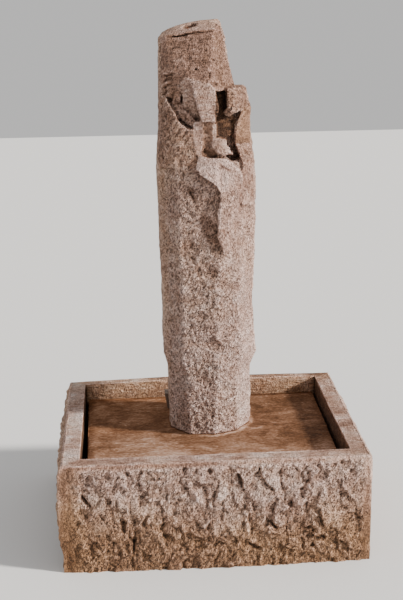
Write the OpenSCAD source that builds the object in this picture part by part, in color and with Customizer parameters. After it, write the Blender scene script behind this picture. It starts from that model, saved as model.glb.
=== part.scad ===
// Garden fountain: a rough-hewn cast-stone column that stands in a square reservoir basin.
// Units are millimetres. +Z is up, the front is -Y, and the origin is under the middle of the basin.

/* [Basin] */
// Width of the basin across its rim
basin_w = 800; // [700:5:960]
// Depth of the basin from front to back across its rim
basin_d = 660; // [600:5:790]
// Height of the basin from the ground to its rim
basin_h = 294; // [260:2:350]
// Thickness of the side walls at the rim
side_wall = 48; // [40:1:60]
// Thickness of the front wall at the rim
front_wall = 50; // [40:1:60]
// Thickness of the back wall at the rim
back_wall = 32; // [26:1:50]
// Thickness of the basin's bottom
bottom_t = 45; // [35:1:60]
// How far the rock face swells out of the front and the back
face_swell = 22; // [8:1:26]
// How far the rock face swells out of each side
side_swell = 12; // [6:1:16]

/* [Pool floor] */
// Depth of the pool floor below the rim
pool_depth = 40; // [30:1:50]
// Thickness of the loose slab that makes the pool floor
slab_t = 40; // [30:1:50]
// Width of the open slot at each side of the slab, at the front
slot_front = 16; // [10:1:20]
// Width of the open slot at each side of the slab, at the back
slot_back = 7; // [5:1:9]
// Ledge in the front and back walls that carries the slab
ledge = 30; // [20:1:40]

/* [Column] */
// Height of the top of the column above the ground
column_top = 1382; // [1300:2:1600]
// Width of the shaft at its widest
shaft_w = 266; // [226:1:300]
// Depth of the shaft at its deepest
shaft_d = 236; // [200:1:270]
// Height of the narrower foot above the pool floor
foot_h = 176; // [150:1:210]
// Height of the head above the right shoulder
head_h = 176; // [150:1:190]
// Distance of the column's axis behind the middle of the basin
column_back = 60; // [20:1:80]

/* [Plumbing] */
// Outside diameter of the riser pipe
pipe_d = 22; // [18:1:28]
// Bore of the riser pipe
pipe_bore = 18; // [14:1:16]
// Hose size that the hose tail takes
hose_d = 19; // [16:1:25]
// Diameter of the cable hole through the back wall
cable_d = 14; // [10:1:20]
// Diameter of the drain hole through the back wall
drain_d = 24; // [18:1:30]

/* [Hidden] */

// Levels and inner faces of the basin
floor_z = basin_h - pool_depth;
ledge_z = floor_z - slab_t;
pool_x = basin_w / 2 - side_wall;
pool_front = -basin_d / 2 + front_wall;
pool_back = basin_d / 2 - back_wall;
tank_front = pool_front + ledge;
tank_back = pool_back - ledge;
// Straight bands of the rock face at the foot and under the rim, and lengths left straight at corners
foot_band = 12;
rim_band = 30;
straight_side = 40;
straight_front = 130;
swell_low = 90;
swell_high = 200;
// Gap round the loose slab at the front and back
slab_gap = 3;
// Places of the two holes in the back wall
cable_x = -250;
cable_z = 180;
drain_x = 250;
drain_z = 75;
seat_out = 8;
seat_y = basin_d / 2 + seat_out;
seat_gap = 2;
flange_t = 5;
flange_extra = 16;
cable_hole_d = cable_d + 6;
// Column: axis of the riser, height of the right shoulder, and bevels of the cross-section
riser_x = -28;
shoulder_z = column_top - head_h;
bevel = 36;
left_set = 50;
left_drop = 9;
left_run = 66;
right_set = 44;
right_drop = 26;
right_run = 64;
crown_hollow = 30;
mouth_gap = 12;
// Supports in the tank
pier_w = 90;
pier_d = 230;
pier_gap = 90;
// Hose tail
nut_t = 9;
nut_w = 38;
tail_len = 36;
wall_min = 2;
// A little extra length so that cuts run clear of the faces
cut = 1;
$fn = 64;

// Cross-sections of the shaft from the foot up. Each row is a height, from -1 at the pool floor through
// 0 at the top of the foot to 1 at the shoulder, then percentages: left and right of the axis and the
// place of the front ridge across as parts of shaft_w, and the front and back as parts of shaft_d.
SHAFT = [
    // height, left, right, ridge, front, back
    [-1.00, 39.0, 45.5,  6, 44.0, 40.0],
    [-0.45, 40.0, 46.8,  8, 45.0, 41.0],
    [ 0.00, 39.5, 46.6, 10, 46.0, 41.5],
    [ 0.05, 44.2, 53.4, 11, 46.6, 45.0],
    [ 0.14, 44.6, 51.2, 10, 47.0, 45.5],
    [ 0.23, 44.2, 49.4, 10, 47.4, 45.5],
    [ 0.40, 45.4, 51.2, 12, 48.4, 46.0],
    [ 0.55, 46.4, 52.8, 14, 49.6, 46.0],
    [ 0.70, 46.9, 53.1, 14, 50.8, 45.0],
    [ 0.77, 46.7, 50.9, 12, 50.4, 44.0],
    [ 0.88, 46.2, 49.4, 10, 47.0, 43.0],
    [ 0.95, 45.4, 47.8,  8, 42.0, 42.0],
    [ 1.00, 44.8, 46.4,  8, 38.0, 40.5],
];

// Height of a row of SHAFT above the ground
function shaft_z(t) = floor_z + foot_h + t * (t < 0 ? foot_h : shoulder_z - floor_z - foot_h);

// One ring of the shaft: a nine-sided outline with a front ridge, drawn anticlockwise
function ring(s) =
    let (
        z = shaft_z(s[0]),
        left = -s[1] * shaft_w / 100,
        right = s[2] * shaft_w / 100,
        ridge = s[3] * shaft_w / 100,
        front = -s[4] * shaft_d / 100,
        back = s[5] * shaft_d / 100
    )
    [
        [left + left_set, front + left_drop, z],
        [ridge, front, z],
        [right - right_set, front + right_drop, z],
        [right, front + right_drop + right_run, z],
        [right, back - bevel, z],
        [right - bevel, back, z],
        [left + bevel, back, z],
        [left, back - bevel, z],
        [left, front + left_drop + left_run, z],
    ];

// Closed skin over a stack of rings that all have the same number of points
module loft(rings) {
    n = len(rings[0]);
    top = (len(rings) - 1) * n;
    polyhedron(
        points = [for (r = rings) each r],
        faces = concat(
            [[for (i = [0 : n - 1]) i]],
            [[for (i = [0 : n - 1]) top + n - 1 - i]],
            [for (k = [0 : len(rings) - 2], i = [0 : n - 1])
                [k * n + i, (k + 1) * n + i, (k + 1) * n + (i + 1) % n]],
            [for (k = [0 : len(rings) - 2], i = [0 : n - 1])
                [k * n + i, (k + 1) * n + (i + 1) % n, k * n + (i + 1) % n]]
        )
    );
}

// Flat-faced block of the head. Each corner is across and along in percent of the shaft's width and
// depth, and in millimetres down from the crown.
module block(corners) {
    points = [for (c = corners) [c[0] * shaft_w / 100, c[1] * shaft_d / 100, column_top - c[2]]];
    hull() polyhedron(points = points, faces = [[for (i = [0 : len(points) - 1]) i]]);
}

module at_column() {
    translate([0, column_back, 0]) children();
}

// Upright part of the column above the shoulders, with a crown that slopes down to the front
module head() {
    block([
        [-43, -13, 232], [-39, -36, 232], [8, -41, 232], [35, -17, 232],
        [35, 26, 232], [23, 39, 232], [-26, 39, 232], [-43, 25, 232],
        [-42, -17, 136], [-39, -34, 136], [8, -39, 154], [34, -15, head_h],
        [34, 25, head_h], [-42, 24, 136],
        [-40, -14, 40], [-36, -30, 40], [10, -34, 22], [23, -13, 68],
        [23, 17, 60], [19, 28, 14], [17, 17, 0], [-9, 25, 6],
        [-30, 25, 24], [-39, 21, 34],
    ]);
}

// Rib that carries the water down from the head's face
module tongue() {
    block([
        [-22, -25, 136], [10, -25, 150], [-22, -36, 146], [10, -40, 162],
        [-5, -47, 258], [13, -49, 258], [-8, -25, 322], [17, -25, 322],
    ]);
}

// Lip that throws the water clear of the shaft
module lip() {
    block([
        [-9, -41, 346], [32, -37, 346], [-11, -50, 382], [36, -44, 378],
        [10, -54, 406], [32, -48, 398], [14, -47, 456], [-11, -25, 382], [36, -25, 382],
    ]);
}

// Cleft between the rib and the right shoulder
module right_cleft() {
    block([
        [12, -59, 186], [23, -59, head_h - 4], [22, -59, 232], [27, -59, 334], [19, -59, 334],
        [12, -26, 182], [21, -17, head_h - 4], [25, -36, 332], [15, -41, 334],
    ]);
}

// Hollow between the rib and the left edge, open to the front
module left_hollow() {
    block([
        [-39, -59, 192], [-23, -59, 146], [-6, -59, 258], [-11, -59, 280],
        [-38, -26, 188], [-24, -28, 154], [-7, -37, 256], [-13, -41, 276],
    ]);
}

// Hollow in the crown where the riser ends; the water spills over its lower left side
module crown_mouth() {
    translate([riser_x, 0, column_top - crown_hollow])
        cylinder(d = pipe_d + 2 * mouth_gap, h = crown_hollow + cut);
}

module column() {
    color("rosybrown")
        at_column() difference() {
            union() {
                loft([for (s = SHAFT) ring(s)]);
                head();
                tongue();
                lip();
            }
            right_cleft();
            left_hollow();
            crown_mouth();
            translate([riser_x, 0, floor_z - cut]) cylinder(d = pipe_d, h = column_top);
        }
}

// Outline of the rock face where it swells most; the corners stay straight
module swell_outline() {
    x = basin_w / 2;
    y = basin_d / 2;
    for (side = [-1, 1]) polygon([
        [side * (x + side_swell), -y + straight_side], [side * (x - straight_front), -y - face_swell],
        [0, -y - face_swell], [0, y + face_swell],
        [side * (x - straight_front), y + face_swell], [side * (x + side_swell), y - straight_side],
    ]);
}

module basin_outside() {
    hull() {
        translate([-basin_w / 2, -basin_d / 2, 0]) cube([basin_w, basin_d, foot_band]);
        translate([-basin_w / 2, -basin_d / 2, basin_h - rim_band]) cube([basin_w, basin_d, rim_band]);
        translate([0, 0, swell_low]) linear_extrude(swell_high - swell_low) swell_outline();
    }
}

// Hole through the back wall with a flat round seat on its outside
module back_hole(x, z, hole_d, seat_d) {
    translate([x, tank_back - cut, z]) rotate([-90, 0, 0]) cylinder(d = hole_d, h = basin_d);
    translate([x, seat_y, z]) rotate([-90, 0, 0]) cylinder(d = seat_d, h = basin_d);
}

module basin() {
    color("rosybrown") difference() {
        basin_outside();
        translate([-pool_x, pool_front, ledge_z])
            cube([2 * pool_x, pool_back - pool_front, basin_h]);
        translate([-pool_x, tank_front, bottom_t])
            cube([2 * pool_x, tank_back - tank_front, basin_h]);
        back_hole(cable_x, cable_z, cable_hole_d, cable_hole_d + flange_extra);
        back_hole(drain_x, drain_z, drain_d, drain_d + flange_extra);
    }
}

// Loose slab that makes the pool floor; water falls back through the slots at its sides
module pool_floor_slab() {
    front_x = pool_x - slot_front;
    back_x = pool_x - slot_back;
    color("sienna") difference() {
        translate([0, 0, ledge_z]) linear_extrude(slab_t) polygon([
            [-front_x, pool_front + slab_gap], [front_x, pool_front + slab_gap],
            [back_x, pool_back - slab_gap], [-back_x, pool_back - slab_gap],
        ]);
        translate([riser_x, column_back, ledge_z - cut]) cylinder(d = pipe_d, h = slab_t + 2 * cut);
    }
}

// Block in the tank that carries the slab under the column; side is -1 for left and 1 for right
module support_pier(side) {
    low_x = side < 0 ? riser_x - pier_gap / 2 - pier_w : riser_x + pier_gap / 2;
    color("gray") translate([low_x, column_back - pier_d / 2, bottom_t])
        cube([pier_w, pier_d, ledge_z - bottom_t]);
}

// Copper pipe from the hose tail up through the slab and the column to the crown
module riser_pipe() {
    top = column_top - crown_hollow + 8;
    color("peru") at_column() translate([riser_x, 0, ledge_z]) difference() {
        cylinder(d = pipe_d, h = top - ledge_z);
        translate([0, 0, -cut]) cylinder(d = pipe_bore, h = top - ledge_z + 2 * cut);
    }
}

// Hexagon nut under the slab with a plain spigot for the pump's hose
module hose_tail() {
    color("goldenrod") at_column() translate([riser_x, 0, ledge_z - nut_t]) difference() {
        union() {
            cylinder(d = nut_w, h = nut_t, $fn = 6);
            translate([0, 0, -tail_len]) cylinder(d = hose_d, h = tail_len + cut);
        }
        translate([0, 0, -tail_len - cut])
            cylinder(d = hose_d - 2 * wall_min, h = tail_len + nut_t + 2 * cut);
    }
}

// Small grey block that stands on the slab behind the column's left edge
module cable_block() {
    block_h = 46;
    block_w = 40;
    lean = 8;
    block_y = 124;
    block_x = -115;
    color("slategray")
        translate([0, column_back + block_y + block_w, floor_z]) rotate([90, 0, 0])
            linear_extrude(block_w) polygon([
                [block_x + lean, 0], [block_x + block_w, 0],
                [block_x + block_w, block_h], [block_x, block_h],
            ]);
}

// Flanged sleeve or stopper that fills a hole through the back wall
module back_sleeve(x, z, hole_d, seat_d) {
    translate([x, tank_back, z]) rotate([-90, 0, 0]) {
        cylinder(d = hole_d, h = seat_y - tank_back);
        translate([0, 0, seat_y - tank_back]) cylinder(d = seat_d - 2 * seat_gap, h = flange_t);
    }
}

module cable_grommet() {
    color("dimgray") difference() {
        back_sleeve(cable_x, cable_z, cable_hole_d, cable_hole_d + flange_extra);
        translate([cable_x, tank_back - cut, cable_z]) rotate([-90, 0, 0])
            cylinder(d = cable_d, h = seat_y - tank_back + flange_t + 2 * cut);
    }
}

module drain_plug() {
    color("dimgray") back_sleeve(drain_x, drain_z, drain_d, drain_d + flange_extra);
}

basin();
pool_floor_slab();
support_pier(-1);  // support_pier_left
support_pier(1);  // support_pier_right
column();
riser_pipe();
hose_tail();
cable_block();
cable_grommet();
drain_plug();
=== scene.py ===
"""Looks of the garden fountain: rock-faced basin, loose pool floor, hewn column and small fittings.

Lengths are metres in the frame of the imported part: +Z up, the front is -Y.
"""
import math

import bmesh
import bpy
import numpy as np
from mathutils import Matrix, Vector


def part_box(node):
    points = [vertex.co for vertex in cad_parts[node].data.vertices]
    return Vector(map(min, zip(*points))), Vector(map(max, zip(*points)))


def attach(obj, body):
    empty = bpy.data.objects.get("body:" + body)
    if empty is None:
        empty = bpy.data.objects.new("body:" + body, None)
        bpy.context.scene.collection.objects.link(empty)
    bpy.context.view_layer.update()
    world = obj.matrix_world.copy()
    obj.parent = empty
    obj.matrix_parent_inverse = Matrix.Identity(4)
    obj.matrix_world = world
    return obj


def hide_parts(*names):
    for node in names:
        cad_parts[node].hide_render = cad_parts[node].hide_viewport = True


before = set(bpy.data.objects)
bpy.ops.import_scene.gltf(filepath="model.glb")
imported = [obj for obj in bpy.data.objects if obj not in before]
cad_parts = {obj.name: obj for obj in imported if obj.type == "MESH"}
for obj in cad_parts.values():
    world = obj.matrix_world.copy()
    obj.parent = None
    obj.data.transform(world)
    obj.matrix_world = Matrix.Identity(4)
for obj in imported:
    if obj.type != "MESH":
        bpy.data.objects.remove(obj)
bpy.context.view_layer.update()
MM = 0.001


# ---------------------------------------- noise on arrays of points

def lattice(cells, seed):
    """Random numbers from 0 to 1, one for each row of whole-number cell coordinates."""
    c = cells.astype(np.int64)
    h = c[:, 0] * 374761393 + c[:, 1] * 668265263 + c[:, 2] * 1442695041 + seed * 982451653
    h &= 0xFFFFFFFF
    h = ((h ^ (h >> 13)) * 1274126177) & 0xFFFFFFFF
    h = ((h ^ (h >> 15)) * 2246822519) & 0xFFFFFFFF
    return ((h ^ (h >> 16)) & 0xFFFFFF) / 0xFFFFFF


def value_noise(points, size, seed):
    """Smooth noise from -1 to 1 whose lumps are about size across."""
    q = points / size
    cell = np.floor(q)
    f = q - cell
    u = f * f * (3 - 2 * f)
    total = np.zeros(len(points))
    for corner in np.ndindex(2, 2, 2):
        c = np.array(corner)
        weight = np.prod(np.where(c == 1, u, 1 - u), axis=1)
        total += weight * lattice(cell + c, seed)
    return total * 2 - 1


def fractal(points, size, seed, octaves=4, gain=0.5):
    """Sum of noises, each half the size of the one before."""
    total = np.zeros(len(points))
    height = 1.0
    for k in range(octaves):
        total += height * value_noise(points, size / 2 ** k, seed + 17 * k)
        height *= gain
    return total


def chips(points, size, seed, tilt=1.0, soft=0.12):
    """Broken facets: every cell is a plane of its own tilt, and planes meet in short steep steps.

    Returns the height in units of size and the distance to the nearest step as a share of size.
    """
    q = points / size
    cell = np.floor(q)
    near = np.full((2, len(points)), 1e9)
    height = np.zeros((2, len(points)))
    for step in np.ndindex(3, 3, 3):
        c = cell + np.array(step) - 1
        jitter = np.stack([lattice(c, seed + k) for k in range(3)], axis=1)
        slope = np.stack([lattice(c, seed + 5 + k) for k in range(3)], axis=1) - 0.5
        offset = q - (c + jitter)
        dist = np.einsum("ij,ij->i", offset, offset)
        h = tilt * np.einsum("ij,ij->i", offset, slope) + 0.35 * (lattice(c, seed + 11) - 0.5)
        first = dist < near[0]
        second = ~first & (dist < near[1])
        near[1] = np.where(first, near[0], np.where(second, dist, near[1]))
        height[1] = np.where(first, height[0], np.where(second, h, height[1]))
        near[0] = np.where(first, dist, near[0])
        height[0] = np.where(first, h, height[0])
    gap = np.sqrt(near[1]) - np.sqrt(near[0])
    w = np.clip(gap / soft, 0, 1)
    w = 0.5 + 0.5 * w * w * (3 - 2 * w)
    return height[0] * w + height[1] * (1 - w), gap


def smoothstep(low, high, x):
    """0 on the far side of low, 1 on the far side of high, smooth between; low may be the larger."""
    t = np.clip((x - low) / (high - low), 0, 1)
    return t * t * (3 - 2 * t)


# ---------------------------------------- mesh helpers

def link(obj):
    bpy.context.scene.collection.objects.link(obj)
    return obj


def new_object(name, vertices, faces):
    mesh = bpy.data.meshes.new(name)
    mesh.from_pydata([tuple(v) for v in vertices], [], faces)
    mesh.validate()
    mesh.update()
    return link(bpy.data.objects.new(name, mesh))


def get_points(obj):
    flat = np.empty(len(obj.data.vertices) * 3)
    obj.data.vertices.foreach_get("co", flat)
    return flat.reshape(-1, 3)


def set_points(obj, points):
    obj.data.vertices.foreach_set("co", points.ravel())
    obj.data.update()


def get_normals(obj):
    flat = np.empty(len(obj.data.vertices) * 3)
    obj.data.vertex_normals.foreach_get("vector", flat)
    return flat.reshape(-1, 3)


def paint(obj, name, values):
    """Stores one number per vertex for the materials to read."""
    layer = obj.data.attributes.new(name, "FLOAT", "POINT")
    layer.data.foreach_set("value", np.clip(values, 0, 1).astype(np.float32))


def apply_modifier(obj, kind, **settings):
    """Adds a modifier and applies it to the mesh."""
    modifier = obj.modifiers.new(kind, kind)
    for key, value in settings.items():
        setattr(modifier, key, value)
    bpy.context.view_layer.objects.active = obj
    bpy.ops.object.modifier_apply(modifier=modifier.name)


def drop(obj):
    bpy.data.objects.remove(obj)


def adopt(obj, node):
    """Lets obj stand for a CAD node."""
    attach(obj, "root")
    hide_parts(node)


# ---------------------------------------- materials

class Shader:
    """A procedural material built node by node. Positions are the object's own, in metres."""

    def __init__(self, name, roughness, metallic=0.0):
        self.material = bpy.data.materials.new(name)
        self.material.use_nodes = True
        self.tree = self.material.node_tree
        self.surface = self.tree.nodes["Principled BSDF"]
        self.surface.inputs["Roughness"].default_value = roughness
        self.surface.inputs["Metallic"].default_value = metallic
        self.place = self.tree.nodes.new("ShaderNodeTexCoord").outputs["Object"]

    def put(self, socket, value):
        if isinstance(value, bpy.types.NodeSocket):
            self.tree.links.new(value, socket)
        elif isinstance(value, tuple) and len(value) == 3 and socket.type == "RGBA":
            socket.default_value = (*value, 1)
        else:
            socket.default_value = value

    def stretched(self, scale):
        node = self.tree.nodes.new("ShaderNodeMapping")
        self.put(node.inputs["Vector"], self.place)
        node.inputs["Scale"].default_value = scale
        return node.outputs["Vector"]

    def turned(self, angle, scale):
        """Positions turned in the plane of the front by an angle in radians, then stretched."""
        node = self.tree.nodes.new("ShaderNodeMapping")
        node.vector_type = "TEXTURE"
        self.put(node.inputs["Vector"], self.place)
        node.inputs["Rotation"].default_value = (0, angle, 0)
        node.inputs["Scale"].default_value = tuple(1 / k for k in scale)
        return node.outputs["Vector"]

    def noise(self, size, detail=3, roughness=0.55, place=None, distortion=0.0):
        node = self.tree.nodes.new("ShaderNodeTexNoise")
        self.put(node.inputs["Vector"], place or self.place)
        node.inputs["Scale"].default_value = 1 / size
        node.inputs["Detail"].default_value = detail
        node.inputs["Roughness"].default_value = roughness
        node.inputs["Distortion"].default_value = distortion
        return node.outputs["Fac"]

    def attribute(self, name):
        node = self.tree.nodes.new("ShaderNodeAttribute")
        node.attribute_name = name
        return node.outputs["Fac"]

    def math(self, operation, a, b=0.0, clamp=False):
        node = self.tree.nodes.new("ShaderNodeMath")
        node.operation = operation
        node.use_clamp = clamp
        self.put(node.inputs[0], a)
        self.put(node.inputs[1], b)
        return node.outputs[0]

    def spread(self, fac):
        """Noise stretched to fill 0 to 1."""
        return self.math("MULTIPLY", self.math("SUBTRACT", fac, 0.3), 2.5, clamp=True)

    def sum(self, first, *others):
        """Weighted sum of sockets, each other one counted from its middle value of 0.5."""
        total = self.math("MULTIPLY", *first)
        for socket, weight in others:
            part = self.math("MULTIPLY", self.math("SUBTRACT", socket, 0.5), weight)
            total = self.math("ADD", total, part)
        return self.math("ADD", total, 0.0, clamp=True)

    def ramp(self, fac, stops):
        node = self.tree.nodes.new("ShaderNodeValToRGB")
        self.put(node.inputs["Fac"], fac)
        elements = node.color_ramp.elements
        while len(elements) < len(stops):
            elements.new(0.5)
        for element, (position, color) in zip(elements, stops):
            element.position = position
            element.color = (color,) * 3 + (1,) if isinstance(color, float) else (*color, 1)
        return node.outputs["Color"]

    def mix(self, fac, a, b, mode="MIX"):
        node = self.tree.nodes.new("ShaderNodeMix")
        node.data_type = "RGBA"
        node.blend_type = mode
        self.put(node.inputs["Factor"], fac)
        self.put(node.inputs[6], a)
        self.put(node.inputs[7], b)
        return node.outputs[2]

    def bump(self, height, strength, distance, under=None):
        node = self.tree.nodes.new("ShaderNodeBump")
        node.inputs["Strength"].default_value = strength
        node.inputs["Distance"].default_value = distance
        self.put(node.inputs["Height"], height)
        if under is not None:
            self.put(node.inputs["Normal"], under)
        return node.outputs["Normal"]

    def finish(self, color, normal=None):
        self.put(self.surface.inputs["Base Color"], color)
        if normal is not None:
            self.put(self.surface.inputs["Normal"], normal)
        return self.material


def dress(obj, material):
    obj.data.materials.clear()
    obj.data.materials.append(material)


# Patina of the cast stone from the darkest brown to pale: a cool pinkish grey, and a warm ochre
COOL = [
    (0.00, (0.060, 0.028, 0.016)), (0.25, (0.160, 0.085, 0.056)), (0.45, (0.310, 0.180, 0.135)),
    (0.62, (0.440, 0.285, 0.232)), (0.80, (0.580, 0.420, 0.370)), (1.00, (0.660, 0.560, 0.540)),
]
WARM = [
    (0.00, (0.045, 0.018, 0.007)), (0.25, (0.135, 0.064, 0.028)), (0.45, (0.270, 0.142, 0.072)),
    (0.62, (0.400, 0.228, 0.130)), (0.80, (0.540, 0.345, 0.222)), (1.00, (0.640, 0.470, 0.350)),
]


def hewn_stone(name):
    """Cast stone; its vertex paint says how deep, pale, warm, rough and tooled each point is, and its depth
    comes out as painted shade and painted highlights.
    """
    s = Shader(name, 0.88)
    s.surface.inputs["Specular IOR Level"].default_value = 0.30
    clouds = s.spread(s.noise(0.13, 4, 0.6))
    blotches = s.spread(s.noise(0.035, 4, 0.65, distortion=0.4))
    slant = s.turned(0.5, (1, 1, 0.6))
    grain = s.spread(s.noise(0.0078, 3, 0.65, place=slant, distortion=0.5))
    specks = s.spread(s.noise(0.0036, 1, 0.6, place=slant, distortion=0.4))
    strokes = s.spread(s.noise(0.0060, 3, 0.6, place=s.stretched((0.16, 1, 1)), distortion=0.9))
    relief = s.attribute("relief")
    rough = s.math("ADD", s.math("MULTIPLY", s.attribute("rough"), 0.65), 0.35)
    tooled = s.attribute("tooled")
    grains = s.math("ADD", s.math("MULTIPLY", s.math("SUBTRACT", grain, 0.5), rough), 0.5)
    streaks = s.math("ADD", s.math("MULTIPLY", s.math("SUBTRACT", strokes, 0.5), tooled), 0.5)
    # The relief paint darkens and warms the hollows and lightens the proud points: painted shade and painted
    # highlight.
    tone = s.sum((s.attribute("tone"), 1), (clouds, 0.16), (blotches, 0.24), (grains, 0.16), (streaks, 0.36),
                 (relief, 0.45))
    warmth = s.sum((s.attribute("warmth"), 1), (clouds, 0.45), (relief, -0.5))
    color = s.mix(warmth, s.ramp(tone, COOL), s.ramp(tone, WARM))
    # Multiplied by the relief: painted shade in the hollows, painted highlights on the proud points.
    shade = s.ramp(relief, [(0.0, 0.16), (0.22, 0.48), (0.42, 1.05), (0.7, 1.35), (1.0, 1.70)])
    color = s.mix(1.0, color, shade, "MULTIPLY")
    pits = s.ramp(s.sum((specks, 1.0), (grain, 0.4)), [
        (0.0, 0.30), (0.30, 0.58), (0.44, 0.96), (0.60, 1.12), (1.0, 1.38)])
    color = s.mix(s.math("MULTIPLY", rough, 0.95), color, pits, "MULTIPLY")
    fine = s.bump(s.math("MULTIPLY", grain, rough), 1.0, 0.0055)
    finer = s.bump(s.math("MULTIPLY", specks, rough), 1.0, 0.0055, fine)
    return s.finish(color, s.bump(s.math("MULTIPLY", strokes, tooled), 1.0, 0.0020, finer))


def tooled_slab_stone(name):
    """Trowelled slab with a dark brown patina brushed from side to side."""
    s = Shader(name, 0.8)
    s.surface.inputs["Specular IOR Level"].default_value = 0.12
    strokes = s.spread(s.noise(0.010, 5, 0.65, place=s.stretched((0.24, 1, 1)), distortion=1.4))
    clouds = s.spread(s.noise(0.10, 5, 0.62, distortion=1.0))
    grit = s.spread(s.noise(0.0042, 1, 0.6, place=s.stretched((0.5, 1, 1))))
    brushed = s.noise(0.0065, 2, 0.5, place=s.stretched((0.3, 1, 1)), distortion=1.6)
    scuffs = s.ramp(brushed, [(0.60, 0.0), (0.70, 1.0)])
    tone = s.sum((s.attribute("tone"), 1), (clouds, 0.42), (strokes, 0.34), (grit, 0.24))
    tone = s.math("ADD", tone, s.math("MULTIPLY", scuffs, 0.20), clamp=True)
    color = s.ramp(tone, [
        (0.00, (0.040, 0.015, 0.006)), (0.30, (0.115, 0.050, 0.022)), (0.50, (0.215, 0.108, 0.060)),
        (0.72, (0.370, 0.225, 0.155)), (1.00, (0.560, 0.430, 0.360)),
    ])
    # Warmth tints the colour brown: the border's stain, and a painted tint of the column's shadow.
    color = s.mix(s.attribute("warmth"), color, (1.0, 0.86, 0.68), "MULTIPLY")
    # Multiplied by the relief: painted shade in the hollows, painted highlights on the high points.
    shade = s.ramp(s.attribute("relief"), [(0.0, 0.3), (0.5, 1.0), (1.0, 1.2)])
    color = s.mix(1.0, color, shade, "MULTIPLY")
    s.put(s.surface.inputs["Roughness"], s.ramp(tone, [(0.0, 0.66), (1.0, 0.92)]))
    return s.finish(color, s.bump(strokes, 0.8, 0.0016, s.bump(grit, 0.5, 0.0006)))


# ---------------------------------------- weathering

def blurred(obj, points, rounds):
    """Points averaged with their neighbours a number of times."""
    pairs = np.empty(len(obj.data.edges) * 2, dtype=np.int64)
    obj.data.edges.foreach_get("vertices", pairs)
    a = np.concatenate([pairs[0::2], pairs[1::2]])
    b = np.concatenate([pairs[1::2], pairs[0::2]])
    count = len(points)
    degree = np.maximum(np.bincount(a, minlength=count), 1)
    result = points.copy()
    for _ in range(rounds):
        mean = np.stack([np.bincount(a, weights=result[b, k], minlength=count) for k in range(3)], axis=1)
        result = 0.4 * result + 0.6 * mean / degree[:, None]
    return result


def paint_relief(obj, fine=4, broad=26, fine_gain=190.0, broad_gain=70.0):
    """Stores how far each point stands proud of, or lies below, its surroundings, which the materials paint
    as shade in hollows and highlights on proud points.
    """
    points = get_points(obj)
    normals = get_normals(obj)
    near = np.einsum("ij,ij->i", points - blurred(obj, points, fine), normals)
    far = np.einsum("ij,ij->i", points - blurred(obj, points, broad), normals)
    paint(obj, "relief", 0.5 + 0.5 * np.tanh(fine_gain * near + broad_gain * far))


def hollow_out(obj, height):
    """Moves each vertex along its normal by a height in metres."""
    set_points(obj, get_points(obj) + get_normals(obj) * height[:, None])


# ---------------------------------------- basin

RIM_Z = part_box("basin")[1][2]
# Half the basin's nominal width and depth, and the width of the rim's flat at the sides
HALF_X = 0.400
HALF_Y = 0.330
RIM_WIDTH = 0.048
# Openings of the pool and of the tank below it: left, front, right and back
POOL = (-0.352, -0.280, 0.352, 0.298)
TANK = (-0.352, -0.250, 0.352, 0.268)
LEDGE_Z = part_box("pool_floor_slab")[0][2]
TANK_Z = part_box("support_pier_left")[0][2]
# How far the seats of the back fittings stand out from the basin's nominal back
SEAT_OUT = 0.007
# Points along the front, right, back and left of each ring of the basin's skin
SIDE_COUNTS = (240, 150, 150, 150)
OUTER_ROWS = 84


def ring_outline(x0, y0, x1, y1):
    """Points round a rectangle, anticlockwise from its front left corner."""
    corners = [(x0, y0), (x1, y0), (x1, y1), (x0, y1)]
    points = []
    for side, count in enumerate(SIDE_COUNTS):
        a = np.array(corners[side])
        b = np.array(corners[(side + 1) % 4])
        t = np.arange(count)[:, None] / count
        points.append(a + (b - a) * t)
    return np.concatenate(points)


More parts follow.
